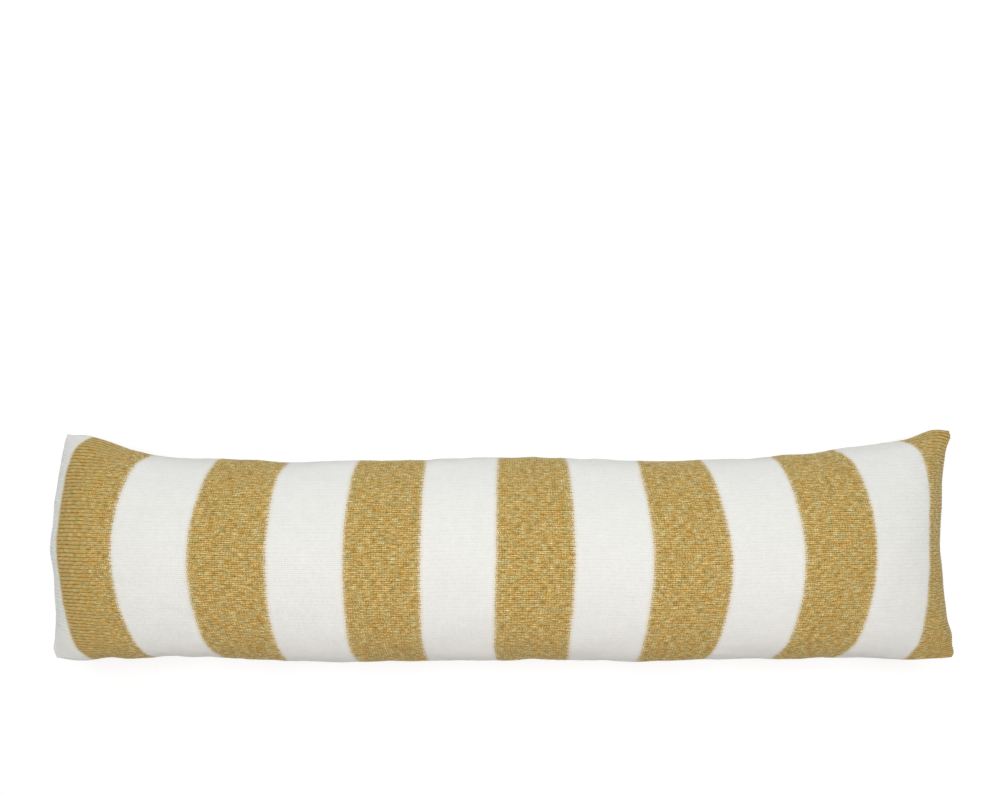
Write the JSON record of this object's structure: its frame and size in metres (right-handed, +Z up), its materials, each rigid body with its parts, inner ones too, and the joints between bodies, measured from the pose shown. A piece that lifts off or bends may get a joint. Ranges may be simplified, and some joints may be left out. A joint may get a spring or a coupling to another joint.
{
  "type": "bed bumper",
  "caption": "Long filled bed bumper in a striped knitted cover, with a crowned face, drawn-in ends and eared corners, lying on its back.",
  "frame": {"origin": "on the surface that the bumper lies on, under the middle of its outline", "axes": "+X along its length, +Y across it towards the edge with the raised corners, +Z up, out of its front face"},
  "size_m": [0.984, 0.2553, 0.1465],
  "materials": {
    "cream_knit": "soft matt wool knit in cream",
    "mustard_knit": "soft matt wool knit in heathered mustard",
    "cream_thread": "cream sewing yarn in the seam"
  },
  "bodies": {
    "root": {"cushion": "cream_knit"}
  },
  "joints": []
}
